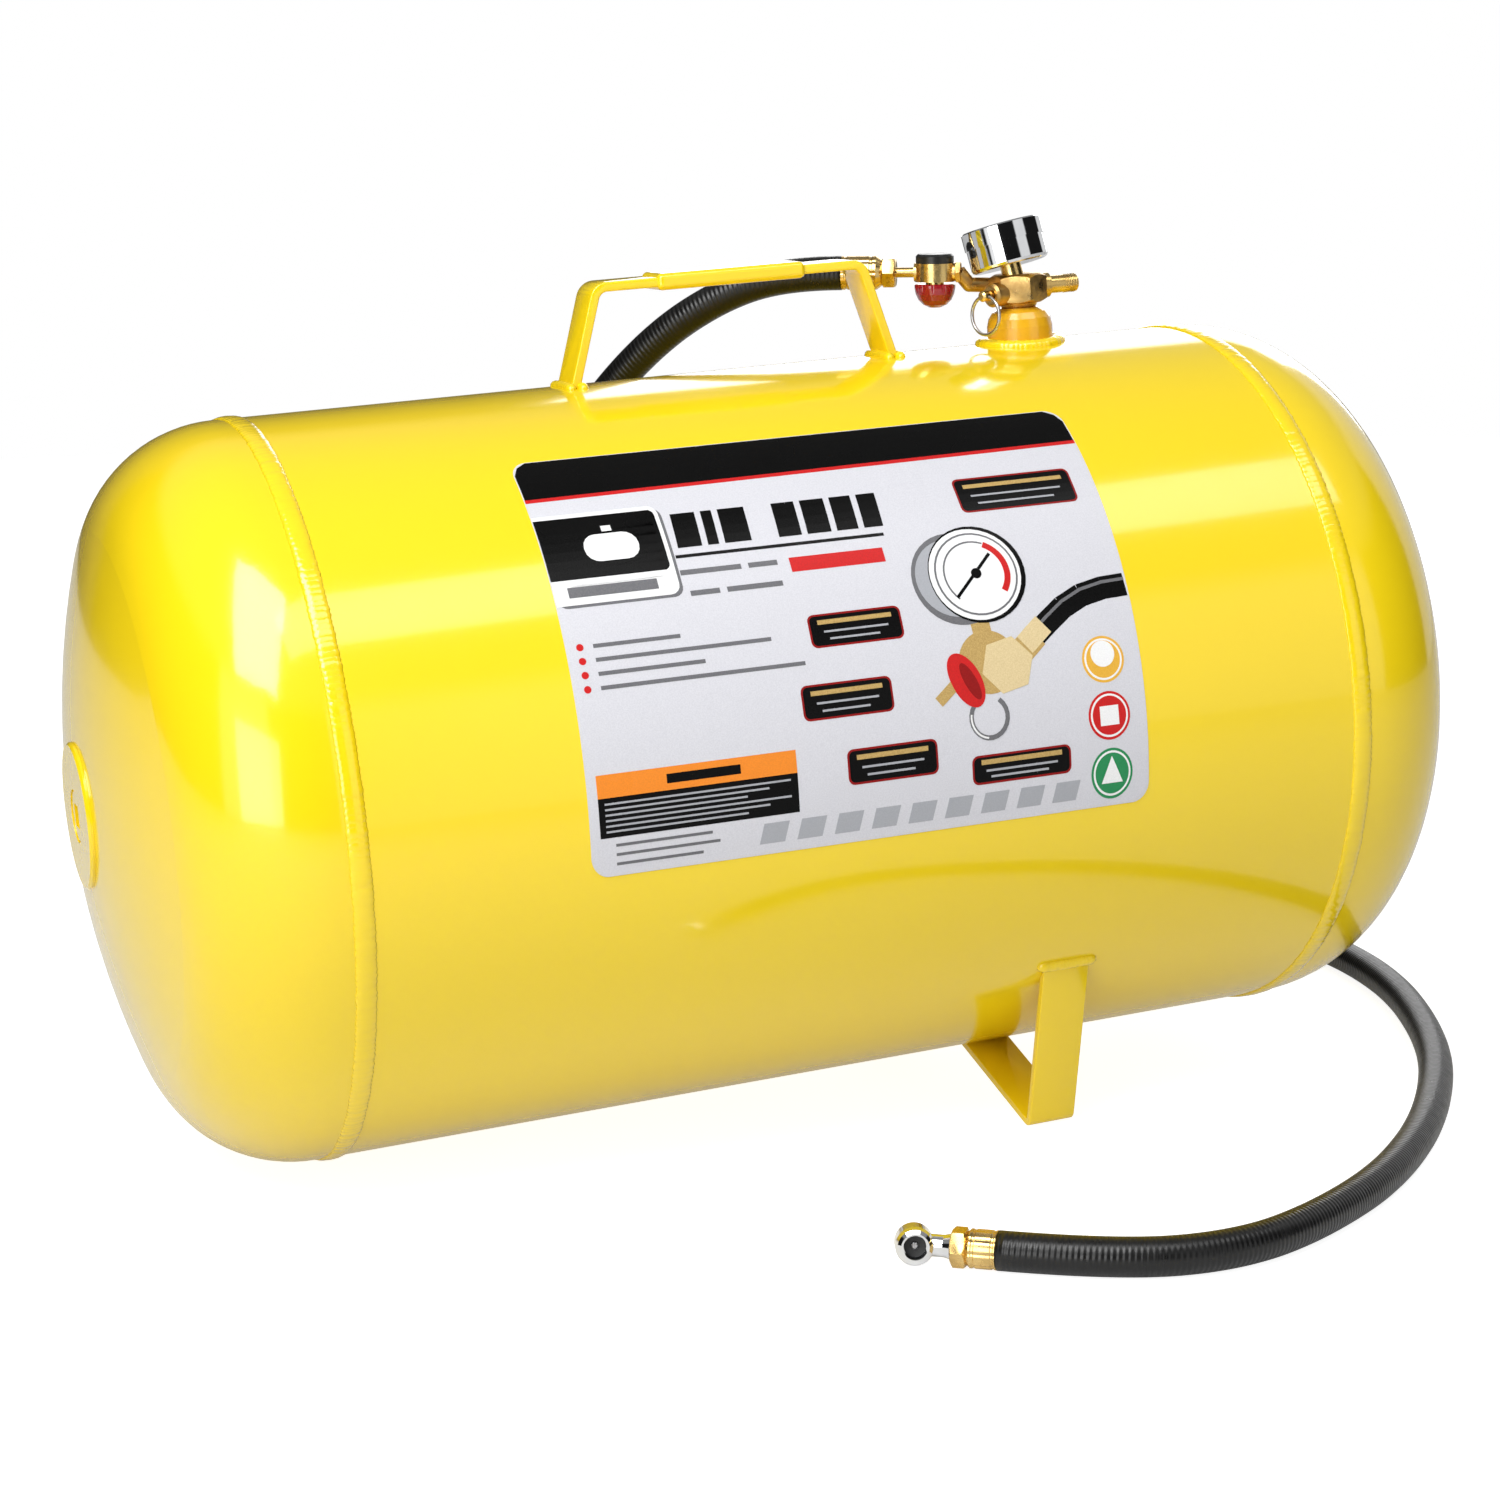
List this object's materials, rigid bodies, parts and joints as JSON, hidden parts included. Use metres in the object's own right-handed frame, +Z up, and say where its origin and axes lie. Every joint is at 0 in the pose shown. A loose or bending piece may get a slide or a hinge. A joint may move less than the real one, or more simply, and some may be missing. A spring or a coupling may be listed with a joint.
{
  "type": "air receiver tank",
  "caption": "Portable horizontal air receiver tank with strap handle, bent feet, brass manifold, gauge, relief valve, shut-off knob, hose and air chuck.",
  "frame": {"origin": "on the floor, below the middle of the tank's box; the tank stands tilted 3.1 degrees, on its left girth weld and its two feet", "axes": "+X along the tank towards the manifold's end, +Y away from the label, +Z up"},
  "size_m": [0.6441, 0.5278, 0.3797],
  "materials": {
    "yellow_paint": "gloss",
    "brass": "satin",
    "chrome": "polished",
    "red_plastic": "gloss",
    "black_plastic": "gloss",
    "hose_rubber": "satin",
    "seal_rubber": "matte",
    "label_print": "satin",
    "steel": "satin",
    "dial_white": "matte",
    "pointer_black": "matte",
    "lens": "clear"
  },
  "bodies": {
    "tank": {"shell_wrapper": "yellow_paint", "head_left": "yellow_paint", "head_right": "yellow_paint", "girth_weld_left": "yellow_paint", "girth_weld_right": "yellow_paint", "seam_weld": "yellow_paint", "end_boss": "yellow_paint", "end_plug": "yellow_paint", "handle_strap": "yellow_paint", "handle_grip": "yellow_paint", "handle_welds": "yellow_paint", "foot_front": "yellow_paint", "foot_back": "yellow_paint", "foot_welds": "yellow_paint", "top_bung": "yellow_paint", "bung_weld": "yellow_paint", "label": "label_print", "manifold_body": "brass", "relief_body": "brass", "relief_cap": "brass", "fill_valve_body": "brass", "fill_core": "brass", "fill_retainer": "brass", "gauge_socket": "brass", "gauge_frame": "brass", "bourdon_tube": "brass", "outlet_elbow": "brass", "valve_body": "brass", "packing_nut": "brass", "hose_barb": "brass", "hose_nut": "brass", "hose_ferrule_inlet": "brass", "hose_ferrule_outlet": "brass", "hose_tail_hex": "brass", "relief_spring": "steel", "fill_spring": "steel", "chuck_spring": "steel", "gauge_case": "chrome", "gauge_bezel": "chrome", "chuck_body": "chrome", "gauge_lens": "lens", "gauge_dial": "dial_white", "valve_cap": "black_plastic", "spindle_seal": "seal_rubber", "chuck_seal": "seal_rubber", "hose": "hose_rubber"},
    "relief_stem": {"relief_stem": "brass"},
    "pull_ring": {"relief_ring": "steel"},
    "seat": {"seat_disc": "brass"},
    "shutoff_knob": {"valve_stem": "brass", "valve_knob": "red_plastic"},
    "gauge_needle": {"gauge_pointer": "pointer_black"},
    "sector": {"gauge_sector": "brass"},
    "fill_pin": {"fill_pin": "brass"},
    "chuck_pin": {"chuck_pin": "steel"}
  },
  "joints": [
    {"name": "relief_pull", "type": "slide", "parent": "tank", "child": "relief_stem", "axis": [-0.9383, -0.342, -0.0509], "range_m": [0, 0.002], "stiffness_N_per_m": 2500, "springref_m": -0.003, "deforming": ["relief_spring"]},
    {"name": "ring_swing", "type": "hinge", "parent": "relief_stem", "child": "pull_ring", "pos_m": [0.11063, -0.00684, 0.34501], "axis": [-0.3415, 0.9397, -0.0185], "range_deg": [-8, 95]},
    {"name": "seat_lift", "type": "slide", "parent": "tank", "child": "seat", "axis": [0.0127, 0.023, -0.9997], "range_m": [0, 0.002]},
    {"name": "knob_turn", "type": "hinge", "parent": "seat", "child": "shutoff_knob", "pos_m": [0.09664, 0.01537, 0.35501], "axis": [0.0127, 0.023, -0.9997], "range_deg": [0, 720]},
    {"name": "sector_turn", "type": "hinge", "parent": "tank", "child": "sector", "pos_m": [0.13398, 0.00121, 0.35886], "axis": [0.1916, -0.189, -0.9631], "range_deg": [-49, 0], "stiffness_Nm_per_rad": 0.002},
    {"name": "needle_turn", "type": "hinge", "parent": "tank", "child": "gauge_needle", "pos_m": [0.12627, 0.001, 0.35737], "axis": [0.1916, -0.189, -0.9631], "range_deg": [0, 270]},
    {"name": "fill_pin_push", "type": "slide", "parent": "tank", "child": "fill_pin", "axis": [-0.9985, 0, -0.0542], "range_m": [0, 0.0015], "stiffness_N_per_m": 600, "springref_m": -0.002, "deforming": ["fill_spring"]},
    {"name": "chuck_pin_push", "type": "slide", "parent": "tank", "child": "chuck_pin", "axis": [0.3409, 0.9324, -0.1203], "range_m": [0, 0.0012], "stiffness_N_per_m": 900, "springref_m": -0.002, "deforming": ["chuck_spring"]}
  ],
  "couplings": [
    {"joint": "seat_lift", "follows": "knob_turn", "m_per_rad": 0.00015915},
    {"joint": "needle_turn", "follows": "sector_turn", "ratio": -5.5}
  ]
}
